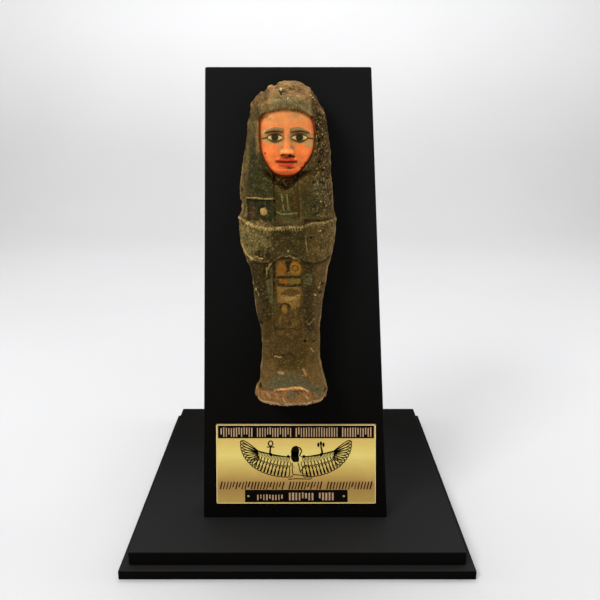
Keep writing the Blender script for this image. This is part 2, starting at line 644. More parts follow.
def ground_colour(points, x, z, front, offset):
    """Scene colour under the painted details; high spots are rubbed pale, hollows dark."""
    warped_x = x + 1.3 * rough(points, 5, 33)
    warped_z = z + 1.3 * rough(points, 5, 34)
    colour = np.zeros((len(x), 3))
    for zones in (body_zones, bust_zones, crown_zones):
        for tone, weight in zones(warped_x, warped_z):
            colour += (paint(*tone) - colour) * weight[:, None]
    crumb = crumbling(x, z)
    mottle = 1 + 0.30 * rough(points, 4.5, 35) + (0.26 + 0.3 * crumb) * rough(points, 1.5, 36)
    mottle += 1.1 * np.clip(offset, -0.5, 0.6)
    mottle = np.maximum(mottle, DARKEST_SHADE)
    colour *= 0.92 * mottle[:, None]
    green = 0.5 + 0.5 * rough(points, 7, 37)
    colour *= 1 + np.outer(green, (-0.10, 0.03, -0.02))
    back = paint(*BACK_TONE) * mottle[:, None]
    behind = ramp(0.2, 0.9, np.where(front, 0, (MIDDLE - points[:, 1]) / MIDDLE))
    colour += (back - colour) * behind[:, None]
    face = ramp(0.35, 0.65, in_face(x, z)) * front
    return colour + (face_colour(points, x, z) - colour) * face[:, None]


# ---- the painted details
# Each layer is a signed distance at every point, which the paint's shader turns into a worn edge.

def almond(x, z, grow=0.0):
    return (1 - eye_reach(x, z, grow)) * EYE_HALF_HEIGHT


def brow_paint(x, z):
    a = np.abs(x)
    half = 0.42 + 0.42 * ramp(10.6, 5.5, a)
    return np.minimum(half - np.abs(z - brow_line(x)), np.minimum(a - 1.8, 10.6 - a))


def eye_paint(x, z):
    a = np.abs(x)
    rim = np.minimum(0.5 - np.abs(almond(x, z, 0.4) - 0.2), 10.4 - a)
    return np.maximum(rim, stroke(0.8, (9.6, 140.9), (12.2, 140.4))(a, z))


OUTSIDE = -9        # a distance well outside every layer
BACK_CRUMB = 0.45   # how crumbling the unpainted back is

LAYERS = (
    # name, display colour, softness of the edge in mm, wear from 0 (whole) to 1 (gone), distance
    ("ochre_wear", (172, 132, 82), 0.7, 0.3, either(
        oval(6.4, 141.6, 6.4, 3.4), oval(-6.6, 140.4, 5.8, 2.8), oval(-10.2, 143.2, 2.4, 2.2),
        stroke(2.0, (2.9, 141.6), (3.1, 136.2)), stroke(1.6, (-2.9, 140.0), (-3.4, 134.6)),
        oval(10.4, 138.0, 2.2, 1.7), oval(4.4, 151.2, 2.0, 0.8), oval(-8.4, 149.6, 1.6, 0.7))),
    ("lips", (164, 62, 38), 0.35, 0.12, oval(0, MOUTH, 4.8, 2.3)),
    ("brow_edge", (66, 50, 30), 0.25, 0.25, lambda x, z: brow_paint(x, z + 0.35) + 0.22),
    ("brows", (118, 98, 64), 0.22, 0.3, brow_paint),
    ("eye_white", (198, 166, 112), 0.18, 0.2, almond),
    ("iris", (48, 46, 32), 0.22, 0.1, lambda x, z: np.minimum(
        disc(EYE_X, EYES + 0.15, 1.75)(np.abs(x), z), almond(x, z) + 0.25)),
    ("eye_line", (74, 58, 32), 0.18, 0.18, eye_paint),
    ("grime", (70, 50, 26), 0.3, 0.2, either(
        oval(1.9, 132.6, 1.1, 0.55), oval(3.3, 132.2, 0.9, 0.5), oval(-2.4, 133.0, 0.6, 0.4),
        oval(2.0, 126.9, 2.2, 0.5), oval(9.0, 128.9, 0.4, 0.8), oval(-10.6, 133.6, 0.4, 0.6),
        oval(7.4, 126.8, 0.7, 0.5))),
    ("patch_paint", (40, 44, 27), 0.3, 0.1, box(*PATCH)),
    ("patch_oval", (60, 44, 28), 0.4, 0.25, either(
        oval(-17.6, 105.8, 1.7, 2.8), oval(-17.4, 102.2, 2.2, 1.1))),
    ("stud_shade", (22, 24, 15), 0.25, 0.05, disc(STUD[0] - 0.3, STUD[1] + 0.35, 2.45)),
    ("stud", (128, 102, 60), 0.25, 0.05, disc(STUD[0], STUD[1] - 0.1, STUD[2] - 0.05)),
    ("stud_light", (150, 124, 76), 0.5, 0.15, disc(STUD[0] - 0.4, STUD[1] + 0.3, STUD[2] - 0.9)),
    ("bars", (98, 106, 66), 0.2, 0.36, either(
        stroke(0.8, (-2.2, 113.8), (-2.0, 110.3)), stroke(0.7, (-1.9, 108.6), (-1.5, 105.8)),
        stroke(0.7, (0.4, 113.4), (0.6, 109.6), (0.8, 106.0)), disc(0.8, 106.4, 0.7),
        stroke(0.8, (-4.8, 105.0), (-3.1, 104.0), (0.6, 104.1), (5.0, 104.4)))),
    ("tan_edges", (132, 110, 68), 0.25, 0.42, either(
        stroke(0.6, (-20.4, 111.4), (-15, 111.9), (-10.5, 111.4), (-6.0, 111.8)),
        stroke(0.7, (-10.8, 75.2), (-9.1, 78.3), (-5.1, 81.7), (-3.7, 82.8), (-0.3, 83.7), (2, 82.6),
            (5.6, 81.6)),
        stroke(0.5, (9.3, 93.3), (9.6, 89.2), (10.1, 85.3)), stroke(0.6, (-11.2, 76.4), (-11.4, 71.0)))),
    ("ledge_edge", (140, 120, 76), 0.4, 0.55, lambda x, z: 0.5 - np.abs(
        np.where(np.abs(x) < 25, z - ledge_line(x) + 0.3, 9))),
    ("ticks", (128, 114, 76), 0.15, 0.45, lambda x, z: np.minimum(
        0.24 - np.abs((x + 0.25 * z + 40) % 1.35 - 0.68), box(-9.6, 7.4, 95.9, 97.9)(x, z))),
    ("column_side", (78, 77, 50), 0.8, 0.48, either(
        stroke(2.0, (-10.3, 69), (-10.1, 64), (-9.4, 58)), stroke(1.0, (-9, 76), (-8.4, 62), (-7.6, 50)),
        oval(9.9, 69.4, 2.6, 3.6))),
    ("ochre_band", (122, 94, 46), 0.7, 0.36, either(
        outline((-6.4, 66), (6.2, 66), (6.4, 59.5), (4.6, 55), (1.8, 53), (0.2, 56.2), (-5.6, 57)),
        oval(5.2, 55.8, 1.0, 1.3), oval(-2.1, 53.4, 1.3, 2.4))),
    ("ochre_low", (102, 78, 38), 0.6, 0.42, either(
        box(-6.2, 6.2, 71.6, 81.0), stroke(1.3, (3.2, 55), (3.6, 50)),
        stroke(0.9, (-4.4, 50), (-4.9, 45.6)), stroke(0.9, (2.0, 47.6), (2.2, 43.2)),
        stroke(0.9, (3.4, 47.8), (3.6, 44.0)), stroke(0.8, (4.8, 47.0), (5.0, 45.0)),
        stroke(0.8, (-1.5, 38.6), (0.9, 36.6)))),
    ("orange", (128, 82, 30), 0.6, 0.3, either(
        outline((-4.2, 79.3), (-1.8, 78.6), (-1.2, 75.4), (-2.6, 73.8), (0.4, 72.7), (-5.4, 72.7),
            (-5.6, 75.0)),
        outline((-5.2, 70.4), (-1.0, 70.2), (0.2, 68.2), (-1.2, 67.6), (-4.8, 67.9)))),
    ("yellow", (136, 98, 36), 0.6, 0.28, either(
        oval(3.4, 76.2, 3.2, 3.5), outline((3.6, 79.6), (6.0, 80.2), (6.3, 74.0), (4.0, 74.0)),
        oval(-2.1, 53.2, 0.9, 2.0))),
    ("green_band", (104, 92, 42), 0.4, 0.3, box(0.0, 6.0, 67.6, 70.2)),
    ("dark_lines", (42, 34, 18), 0.35, 0.22, either(
        stroke(1.3, (-5.6, 71.1), (0, 71.2), (5.6, 71.4)),
        stroke(1.2, (-4.8, 66.7), (0, 66.4), (5.8, 66.6)),
        outline((-1.6, 80.4), (2.4, 80.4), (0.7, 77.4), (0.9, 74.6), (-1.2, 73.9), (-0.9, 76.2)),
        lambda x, z: hoop(-1.9, 53.8, 2.6, 0.9)(x, z) - ramp(55, 52, z),
        stroke(1.0, (-7.0, 79), (-7.6, 66)), stroke(0.6, (-4.1, 42.3), (3.6, 42.3)),
        stroke(0.5, (7.0, 78), (6.9, 64)), hoop(3.4, 76.1, 1.5, 0.44))),
    ("band_light", (156, 130, 78), 0.7, 0.4, either(oval(0.6, 59.4, 3.6, 1.0), oval(4.0, 61.2, 1.4, 0.6))),
    ("lens", (82, 64, 32), 0.4, 0.2, outline(
        (-4.8, 61.6), (-2.2, 63.9), (1.0, 65.1), (4.2, 64.0), (6.2, 62.4), (3.4, 61.0), (1.0, 60.4),
        (-1.8, 61.2))),
    ("light_chips", (158, 132, 88), 0.2, 0.3, either(
        stroke(0.7, (-18.2, 64.8), (-17.4, 62.8)), stroke(0.7, (-17.2, 61.8), (-16.2, 60.4)),
        oval(16.4, 66.8, 0.5, 0.7), oval(15.8, 64.6, 0.5, 0.7), oval(13.9, 60.7, 0.6, 0.6),
        stroke(0.4, *V_SCRATCH), stroke(0.6, (-8.8, 26.0), (-7.6, 26.3), (-6.4, 25.6), (-5.2, 25.9)),
        stroke(0.6, (10.4, 30.8), (12.4, 28.2)), stroke(0.6, (-1.2, 82.6), (1.6, 83.2)),
        oval(3.3, 81.8, 0.9, 0.6), oval(-13.4, 81.4, 1.2, 0.5), oval(-9.4, 78.2, 0.6, 0.5),
        oval(-19.0, 79.6, 0.9, 0.7), oval(0.6, 85.8, 0.5, 0.5))),
    ("foot_green", (79, 74, 51), 0.5, 0.08, outline(
        (-15.4, 8.6), (-10.4, 15.3), (-6.9, 18.5), (-3, 18), (5.8, 16.3), (8.5, 13.3), (15.1, 9.4),
        (18.6, 6.3), (16.4, 6.0), (9.7, 8.2), (4, 10.9), (-5, 10.2), (-11.5, 8.6))),
    ("foot_streak", (150, 116, 70), 0.35, 0.15, either(
        stroke(1.2, (6.8, 18.9), (8.0, 16.2)), stroke(1.4, (-6.6, 17.6), (-4.4, 17.4)))),
    ("bare_clay", (126, 90, 55), 0.35, 0.1, lambda x, z: break_line(x) - z),
    ("break_rim", (190, 140, 88), 0.3, 0.25, lambda x, z: np.minimum(
        0.55 - np.abs(break_line(x) - z - 0.3), 9.5 - np.abs(x + 0.5))),
    ("toe_grey", (98, 84, 58), 0.8, 0.3, either(oval(0.4, 6.8, 3.4, 2.8), oval(16.4, 4.4, 3.4, 1.6))),
    ("toe_rim", (168, 138, 102), 0.35, 0.42, either(
        box(-20, 20, -9, 2.3), stroke(0.5, (-13.5, 7.2), (-10.8, 4.6)),
        stroke(0.4, (-8.8, 7.6), (-7.2, 4.8)), stroke(0.5, (-4.6, 5.4), (-2.4, 2.8)),
        stroke(0.4, (7.4, 7.2), (9.6, 4.0)))),
    ("arm_edge", (150, 124, 80), 0.5, 0.5, either(
        stroke(1.0, (-23.6, 87.2), (-21.9, 83.8), (-20.2, 80.9)), oval(-19.0, 81.0, 1.3, 0.9),
        oval(-15.8, 82.4, 1.0, 0.5))),
)

GLINTS = (
    (-2.4, 163.4, 1.0), (-0.6, 162.0, 0.8), (-2.8, 161.9, 0.7), (12.9, 160.6, 0.8), (14.0, 159.6, 0.8),
    (15.0, 158.8, 0.7), (1.9, 159.2, 0.8), (0.6, 158.0, 0.6), (14.7, 150.0, 0.6), (15.6, 147.1, 0.9),
    (17.4, 142.3, 0.9), (17.2, 133.9, 0.8), (18.3, 132.5, 0.5), (7.9, 34.9, 0.7), (12.7, 34.6, 0.9),
    (17.0, 109.9, 0.9), (16.6, 95.4, 0.8), (17.4, 93.8, 0.5), (-20.1, 103.4, 0.6), (5.6, 156.0, 0.7),
    (-15.3, 7.2, 0.7), (8.9, 98.6, 0.6), (16.0, 113.4, 0.6), (13.2, 113.9, 0.5), (-13.0, 156.4, 0.5),
)


# ---- shader helpers

class Surface:
    """A material being made: its methods add nodes and give back the sockets they end in."""

    def __init__(self, name):
        self.material = bpy.data.materials.new(name)
        self.material.use_nodes = True
        self.tree = self.material.node_tree
        self.tree.nodes.clear()
        self.shader = self.node("BsdfPrincipled")
        self.feed(self.node("OutputMaterial").inputs["Surface"], self.shader.outputs["BSDF"])
        self.point = self.node("TexCoord").outputs["Object"]

    def node(self, kind, **settings):
        node = self.tree.nodes.new("ShaderNode" + kind)
        for name, value in settings.items():
            setattr(node, name, value)
        return node

    def feed(self, socket, value):
        """Sets a socket to a constant, or links it to another socket."""
        if isinstance(value, bpy.types.NodeSocket):
            self.tree.links.new(value, socket)
        elif np.ndim(value) and len(value) < len(socket.default_value):
            socket.default_value = (*value, 1.0)
        else:
            socket.default_value = value

    def feed_all(self, sockets, values):
        for socket, value in zip(sockets, values):
            self.feed(socket, value)

    def give(self, name, value):
        """Feeds one of the shader's own inputs."""
        self.feed(self.shader.inputs[name], value)

    def math(self, operation, *values):
        node = self.node("Math", operation=operation)
        self.feed_all(node.inputs, values)
        return node.outputs[0]

    def times(self, a, b):
        return self.math("MULTIPLY", a, b)

    def mapped(self, value, low, high, to_low=0.0, to_high=1.0):
        """A smooth step of value from low to high, as to_low to to_high."""
        node = self.node("MapRange", interpolation_type="SMOOTHSTEP")
        self.feed_all(node.inputs, (value, low, high, to_low, to_high))
        return node.outputs[0]

    def mixed(self, share, a, b):
        node = self.node("Mix", data_type="RGBA")
        self.feed_all([node.inputs[place] for place in (0, 6, 7)], (share, a, b))
        return node.outputs[2]

    def washed(self, colour, *washes):
        """A colour under washes, each of them a share and a display colour."""
        for share, tone in washes:
            colour = self.mixed(share, colour, linear(*tone))
        return colour

    def dimmed(self, colour, factor):
        node = self.node("VectorMath", operation="SCALE")
        self.feed(node.inputs[0], colour)
        self.feed(node.inputs["Scale"], factor)
        return node.outputs[0]

    def stretched(self, *factors):
        node = self.node("VectorMath", operation="MULTIPLY")
        self.feed_all(node.inputs, (self.point, factors))
        return node.outputs[0]

    def axis(self, vector, name):
        node = self.node("SeparateXYZ")
        self.feed(node.inputs[0], vector)
        return node.outputs[name]

    def facing_up(self):
        """1 where the surface faces straight up, 0 where it is upright."""
        return self.axis(self.node("NewGeometry").outputs["Normal"], "Z")

    def grain(self, size, detail, distortion=0.0, point=None):
        """Noise from about 0 to 1 with lumps of the given size in millimetres."""
        node = self.node("TexNoise")
        inputs = {"Vector": self.point if point is None else point, "Scale": 1 / (size * MM),
                  "Detail": detail, "Distortion": distortion}
        self.feed_all([node.inputs[name] for name in inputs], inputs.values())
        return node.outputs["Fac"]

    def specks(self, size, radius):
        """1 at the middle of scattered round specks, 0 outside them."""
        node = self.node("TexVoronoi")
        self.feed(node.inputs["Vector"], self.point)
        self.feed(node.inputs["Scale"], 1 / (size * MM))
        return self.mapped(node.outputs["Distance"], radius * 0.5, radius, 1.0, 0.0)

    def attribute(self, name, kind="Fac"):
        return self.node("Attribute", attribute_name=name).outputs[kind]

    def bump(self, height, depth, strength):
        """Fine relief of the given depth in millimetres, in the shader's normals."""
        node = self.node("Bump")
        inputs = {"Strength": strength, "Distance": depth * MM, "Height": height}
        self.feed_all([node.inputs[name] for name in inputs], inputs.values())
        self.give("Normal", node.outputs["Normal"])


# ---- materials

def layered(skin, fine, coarse, wobble):
    """The skin's ground colour under every painted layer, each of them worn by noise."""
    losses = skin.math("ADD", skin.times(fine, 0.45), skin.times(coarse, 0.55))
    colour = skin.attribute("ground", "Color")
    for name, tone, soft, gone, _ in LAYERS:
        edge = skin.math("MULTIPLY_ADD", wobble, min(1.0, 2.2 * soft), skin.attribute(name))
        kept = skin.mapped(losses, 0.2 + 0.4 * gone, 0.32 + 0.4 * gone, 0.25 * (1 - gone), 1.0)
        layer = skin.mixed(fine, paint(*tone) * 0.62, paint(*tone) * 1.38)
        colour = skin.mixed(skin.times(skin.mapped(edge, -soft, soft), kept), colour, layer)
    return colour


def painted_clay():
    """The painted skin with its grit, stains, fibres, flecks and dust, darkest in hollows."""
    skin = Surface("painted_clay")
    fine, coarse = skin.grain(0.9, 4), skin.grain(2.4, 4)
    wobble = skin.math("MULTIPLY_ADD", fine, 0.9, -0.45)
    colour = layered(skin, fine, coarse, wobble)
    crumb, cavity = skin.attribute("crumb"), skin.attribute("cavity")
    lights = skin.mapped(skin.grain(0.75, 3), 0.3, 0.7, 0.5, 1.5)
    strength = skin.math("MULTIPLY_ADD", crumb, 0.9, 0.12)
    colour = skin.mixed(strength, colour, skin.dimmed(colour, lights))
    tan = skin.times(skin.mapped(skin.grain(1.0, 4), 0.55, 0.68), crumb)
    dark = skin.times(skin.mapped(skin.grain(1.4, 4), 0.47, 0.36), crumb)
    rugged = skin.mapped(crumb, 0.05, 0.8, 0.18, 0.9)
    web = skin.math("ABSOLUTE", skin.math("SUBTRACT", skin.grain(2.6, 2, 1.2), 0.5))
    fibres = skin.times(skin.mapped(web, 0.0, 0.03, 0.62, 0.0), skin.mapped(coarse, 0.48, 0.6))
    flecks = skin.times(skin.specks(1.7, 0.22), skin.mapped(coarse, 0.5, 0.62))
    dust = skin.mapped(skin.grain(0.45, 2), 0.66, 0.74, 0.0, 0.4)
    glint = skin.math("MULTIPLY_ADD", wobble, 1.2, skin.attribute("glint"))
    colour = skin.washed(
        colour, (skin.times(tan, 0.7), (158, 128, 76)), (skin.times(dark, 0.45), (28, 20, 10)),
        (skin.times(fibres, rugged), (150, 122, 70)), (skin.times(flecks, rugged), (176, 144, 88)),
        (dust, (140, 114, 66)), (skin.mapped(glint, 0.0, 0.35), (214, 190, 144)))
    grime = skin.mapped(cavity, -0.42, -0.02, 0.42, 1.0)
    rubbed = skin.mapped(cavity, 0.03, 0.4, 1.0, 1.5)
    skin.give("Base Color", skin.dimmed(colour, skin.times(grime, rubbed)))
    matt = skin.mapped(crumb, 0.0, 0.3, -0.14, 0.0)
    skin.give("Roughness", skin.math("ADD", matt, skin.mapped(coarse, 0.3, 0.7, 0.5, 0.72)))
    skin.give("Specular IOR Level", 0.05)
    skin.give("Specular Tint", (1.0, 0.9, 0.6))
    skin.bump(skin.math("ADD", skin.times(fine, 0.6), skin.times(tan, 0.5)), 0.35, 0.7)
    return skin.material


def black_lacquer():
    """Satin black paint on wood: a faint ripple, dust settled on what faces up, a few specks."""
    coat = Surface("black_lacquer")
    upper = coat.times(coat.mapped(coat.axis(coat.point, "Z"), 0.03, 0.29), 0.8)
    nearer = coat.mapped(coat.axis(coat.point, "Y"), 0.08, -0.1, 0.05, 1.0)
    settled = coat.times(coat.mapped(coat.facing_up(), 0.6, 0.95), nearer)
    dust = coat.times(coat.specks(2.6, 0.07), 0.25)
    tone = coat.mixed(coat.grain(38, 4), linear(8, 7, 6), linear(12, 11, 10))
    washes = (upper, (28, 28, 28)), (settled, (34, 34, 34)), (dust, (84, 80, 74))
    coat.give("Base Color", coat.washed(tone, *washes))
    coat.give("Roughness", coat.mapped(coat.grain(22, 5, 0.4), 0.3, 0.7, 0.34, 0.46))
    coat.give("Specular IOR Level", 0.006)
    coat.bump(coat.grain(1.4, 3), 0.02, 0.5)
    return coat.material


GOLD_BANDS = (  # share of the plate's height, display colour
    (0.0, (212, 184, 92)), (0.12, (190, 154, 80)), (0.24, (174, 132, 72)), (0.40, (206, 172, 86)),
    (0.62, (236, 216, 120)), (0.76, (226, 196, 104)), (1.0, (196, 158, 88)),
)


def sheet_gold(low, high):
    """Brushed gold-coloured brass, its tone rising and falling in soft bands up the plate."""
    gold = Surface("engraved_brass")
    stops = gold.node("ValToRGB")
    elements = stops.color_ramp.elements
    while len(elements) < len(GOLD_BANDS):
        elements.new(0.5)
    for stop, (place, tone) in zip(elements, GOLD_BANDS):
        stop.position = place
        stop.color = (*linear(*tone), 1)
    above = gold.math("SUBTRACT", gold.axis(gold.point, "Z"), low)
    gold.feed(stops.inputs[0], gold.math("DIVIDE", above, high - low))
    brush = gold.grain(0.6, 4, point=gold.stretched(0.06, 1, 1))
    cloud = gold.mapped(gold.grain(16, 3), 0.5, 0.8, 0.0, 0.12)
    washes = (gold.times(brush, 0.16), (150, 110, 56)), (cloud, (246, 228, 150))
    gold.give("Base Color", gold.washed(stops.outputs[0], *washes))
    gold.give("Metallic", 0.35)
    gold.give("Roughness", gold.mapped(brush, 0.3, 0.7, 0.36, 0.5))
    gold.bump(brush, 0.01, 0.6)
    return gold.material


PRINTS = {  # display colours between which it varies, and its least roughness
    "printed_black": ((5, 4, 3), (16, 13, 8), 0.4),
    "printed_brown": ((34, 22, 12), (58, 38, 20), 0.5),
    "printed_tan": ((158, 126, 92), (198, 168, 130), 0.45),
    "bright_edge": ((216, 182, 124), (244, 220, 160), 0.35),
}


def printed(name):
    """A thin printed line of one colour, a little uneven, as on a sheet of etched brass."""
    dark, light, roughness = PRINTS[name]
    ink = Surface(name)
    cloud = ink.grain(0.5, 3)
    ink.give("Base Color", ink.mixed(cloud, linear(*dark), linear(*light)))
    ink.give("Roughness", ink.mapped(cloud, 0.3, 0.7, roughness, roughness + 0.12))
    ink.give("Specular IOR Level", 0.03)
    return ink.material


def plain_floor():
    """Smooth pale floor, and a backdrop a little lighter."""
    floor = Surface("pale_floor")
    cloud = floor.grain(300, 2)
    wall = floor.mixed(cloud, linear(226, 226, 227), linear(232, 232, 233))
    level = floor.mixed(cloud, linear(190, 190, 191), linear(197, 197, 198))
    floor.give("Base Color", floor.mixed(floor.mapped(floor.facing_up(), 0.2, 0.95), wall, level))
    floor.give("Roughness", 0.6)
    floor.give("Specular IOR Level", 0.2)
    return floor.material


# ---- pieces

def add_mesh(name, points, faces, material, smooth=True):
    """A mesh piece from points in millimetres."""
    mesh = bpy.data.meshes.new(name)
    mesh.from_pydata((np.asarray(points) * MM).tolist(), [], faces)
    mesh.materials.append(material)
    mesh.polygons.foreach_set("use_smooth", [smooth] * len(mesh.polygons))
    piece = bpy.data.objects.new(name, mesh)
    bpy.context.scene.collection.objects.link(piece)
    return piece


def put_values(mesh, name, values):
    layer = mesh.attributes.new(name, "FLOAT", "POINT")
    layer.data.foreach_set("value", np.asarray(values, np.float32))


def put_colours(mesh, name, colours):
    layer = mesh.attributes.new(name, "FLOAT_COLOR", "POINT")
    rgba = np.column_stack([np.clip(colours, 0, 1), np.ones(len(colours))])
    layer.data.foreach_set("color", rgba.astype(np.float32).ravel())


def world_skin(points):
    """Figure points (x, depth, z) in the object's frame: leaning, standing against the board."""
    low, high = in_mm("figurine")
    x = FIGURE_X + lean(points[:, 2]) + points[:, 0]
    return np.column_stack([x, high[1] - points[:, 1], low[2] + points[:, 2]])


def build_figurine():
    points, x, z, front, offset, cavity, faces = figurine_skin()
    piece = add_mesh("figurine_skin", world_skin(points), faces, painted_clay())
    put_colours(piece.data, "ground", ground_colour(points, x, z, front, offset))
    ragged = 0.35 * rough(points, 2.2, 41)
    for name, _, soft, _, shape in LAYERS:
        distance = shape(x + 0.5 * soft * ragged, z) + min(1.0, 2 * soft) * ragged
        put_values(piece.data, name, np.where(front, distance, OUTSIDE))
    put_values(piece.data, "cavity", np.where(front, cavity, 0))
    put_values(piece.data, "crumb", np.where(front, crumbling(x, z), BACK_CRUMB))
    spots = either(*(disc(*glint) for glint in GLINTS))(x, z)
    put_values(piece.data, "glint", np.where(front, spots - 0.35, OUTSIDE))
    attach(piece, "root")
    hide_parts("figurine")


def dress(node, material, radius):
    """Rounds a CAD node's edges without moving it, and gives it its material."""
    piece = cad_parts[node]
    weld = piece.modifiers.new("weld", "WELD")
    weld.merge_threshold = 0.01 * MM
    bevel = piece.modifiers.new("bevel", "BEVEL")
    bevel.width = radius * MM
    bevel.segments = 3
    bevel.limit_method = "ANGLE"
    bevel.harden_normals = True
    piece.data.materials.clear()
    piece.data.materials.append(material)


def build_stand():
    lacquer = black_lacquer()
    for node, radius in (("base_plate", 0.5), ("base_platform", 0.6), ("upright_board", 0.7)):
        dress(node, lacquer, radius)
    low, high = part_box("brass_plate")
    dress("brass_plate", sheet_gold(low[2], high[2]), 0.25)


# ---- the brass plate's picture and strokes
# Plate places are shares of its width from the left and of its height from the top. Lines are
# as wide as given in millimetres.

PROUD = 0.06          # how far printed lines stand out of the plate, in mm
BAND_PROUD = 0.12
PALE_PROUD = 0.17     # strokes on the black bands
SUNK = 0.02           # how far they reach into it
GROUP_GAP = 0.62      # half a gap between two groups of strokes, in strokes
ARM_FEATHERS = 11     # long feathers hanging from each arm
HAND_FEATHERS = 8     # feathers fanned out beyond each hand
PLATE_ASPECT = 1.85   # width over height


class Plate:
    """The front of the brass plate: a slightly tapering rectangle facing the viewer."""

    def __init__(self):
        low, high = in_mm("brass_plate")
        corners = np.array([v.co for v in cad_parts["brass_plate"].data.vertices]) / MM
        foot = corners[corners[:, 2] < low[2] + 1, 0]
        head = corners[corners[:, 2] > high[2] - 1, 0]
        self.front = low[1]
        self.bottom, self.top = low[2], high[2]
        self.foot = foot.min(), foot.max()
        self.head = head.min(), head.max()

    def place(self, across, down, proud=0.0):
        up = 1 - down
        left = self.foot[0] + (self.head[0] - self.foot[0]) * up
        right = self.foot[1] + (self.head[1] - self.foot[1]) * up
        z = self.bottom + (self.top - self.bottom) * up
        return left + (right - left) * across, self.front - proud, z


class Relief:
    """Flat raised shapes gathered into one mesh."""

    def __init__(self, plate, proud):
        self.plate, self.proud = plate, proud
        self.points, self.faces = [], []

    def fill(self, places):
        """A raised area inside a convex or gently curved outline."""
        start, count = len(self.points), len(places)
        for depth in (self.proud, -SUNK):
            self.points += [self.plate.place(across, down, depth) for across, down in places]
        self.faces.append(tuple(range(start, start + count)))
        for k in range(count):
            here, after = start + k, start + (k + 1) % count
            self.faces.append((here, here + count, after + count, after))

    def line(self, places, width):
        """A raised line, tapering from one width to another where width is a pair."""
        start_width, end_width = width if isinstance(width, tuple) else (width, width)
        points = np.array([self.plate.place(*place) for place in places])[:, [0, 2]]
        steps = np.gradient(points, axis=0)
        sides = np.column_stack([-steps[:, 1], steps[:, 0]])
        sides /= np.maximum(np.linalg.norm(sides, axis=1, keepdims=True), 1e-9)
        half = np.linspace(start_width, end_width, len(points))[:, None] / 2
        start = len(self.points)
        for pair in zip(points + sides * half, points - sides * half):
            for x, z in pair:
                self.points.append((x, self.plate.front - self.proud, z))
                self.points.append((x, self.plate.front + SUNK, z))
        end = start + 4 * (len(points) - 1)
        for a in range(start, end, 4):
            self.faces.append((a, a + 2, a + 6, a + 4))
            self.faces.append((a, a + 4, a + 5, a + 1))
            self.faces.append((a + 2, a + 3, a + 7, a + 6))
        self.faces.append((start, start + 1, start + 3, start + 2))
        self.faces.append((end, end + 2, end + 3, end + 1))

    def piece(self, name, material, slot):
        piece = add_mesh(name, self.points, self.faces, material, smooth=False)
        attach(piece, "root")


def arc(centre, radii, start, end, count=14):
    """Places on an ellipse; angles in degrees, 0 to the right and 90 up."""
    turns = np.radians(np.linspace(start, end, count))
    return [(centre[0] + radii[0] * math.cos(t), centre[1] - radii[1] * math.sin(t)) for t in turns]


def between(a, b, share):
    return a[0] + (b[0] - a[0]) * share, a[1] + (b[1] - a[1]) * share


def stroke_row(relief, left, right, top, bottom, groups, slant, width, seed):
    """A row of upright strokes in groups, which say nothing."""
    pick = np.random.default_rng(seed)
    pitch = (right - left) / (sum(groups) + GROUP_GAP * 2 * (len(groups) - 1))
    at = left + pitch / 2
    for count in groups:
        for _ in range(count):
            rise = (bottom - top) * pick.uniform(0.0, 0.10)
            drop = (bottom - top) * pick.choice((0.0, 0.0, 0.0, 0.25))
            foot, head = (at - slant / 2, bottom - drop), (at + slant / 2, top + rise)
            relief.line([foot, head], width * pick.uniform(0.8, 1.25))
            at += pitch
        at += 2 * GROUP_GAP * pitch


def mirrored(side, places):
    """Places on the wing of one side: -1 the left one, 1 the right one."""
    return [(0.5 + side * (across - 0.5), down) for across, down in places]


def draw_feather(relief, side, root, tip, breadth, width):
    """One feather as a loop with a round tip; breadth is a share of the plate's height."""
    along_x, along_y = (tip[0] - root[0]) * PLATE_ASPECT, tip[1] - root[1]
    length = math.hypot(along_x, along_y)
    edge = ((0.0, 0.35), (0.3, 0.75), (0.6, 1.0), (0.86, 0.98), (0.95, 0.72), (1.0, 0.0))
    loop = []
    for share, reach in edge + tuple((share, -reach) for share, reach in reversed(edge[:-1])):
        swing = reach * breadth / 2 / length
        loop.append((root[0] + (along_x * share - along_y * swing) / PLATE_ASPECT,
                     root[1] + along_y * share + along_x * swing))
    relief.line(mirrored(side, loop), width)


def arm_place(share):
    """A place along the wing's leading edge, from the shoulder at 0 to the wrist at 1."""
    return 0.535 + 0.20 * share, 0.400 - 0.070 * share ** 1.5


def tip_place(turn):
    """Where a long feather ends, by its direction in degrees."""
    turn = math.radians(turn)
    return 0.560 + 0.288 * math.cos(turn), 0.235 - 0.425 * math.sin(turn)


def draw_wing(relief, side):
    """One spread wing: a leading edge, two rows of short feathers, long ones and a fanned tip."""
    wrist = arm_place(1.0)
    for k, turn in enumerate(np.linspace(-90, -44, ARM_FEATHERS)):
        top, bottom = arm_place(k / (ARM_FEATHERS - 1)), tip_place(turn)
        root = between(top, bottom, 0.45)
        draw_feather(relief, side, root, bottom, 0.052, 0.55)
        draw_feather(relief, side, between(top, bottom, 0.22), root, 0.044, 0.42)
    for share in np.linspace(0.02, 0.98, 2 * ARM_FEATHERS):
        top = arm_place(share)
        low = between(top, tip_place(-90 + 46 * share), 0.20)
        relief.line(mirrored(side, [top, low]), 0.42)
    for k, turn in enumerate(np.linspace(-38, 4, HAND_FEATHERS)):
        share = k / (HAND_FEATHERS - 1)
        root = wrist[0] + 0.012 * share - 0.004, wrist[1] + 0.075 * (1 - share)
        draw_feather(relief, side, root, tip_place(turn), 0.058, 0.60)
    relief.line(mirrored(side, [arm_place(share) for share in np.linspace(0, 1, 12)]), (0.6, 0.9))
    relief.line(mirrored(side, [wrist, (0.785, 0.275), tip_place(5)]), (0.9, 0.6))


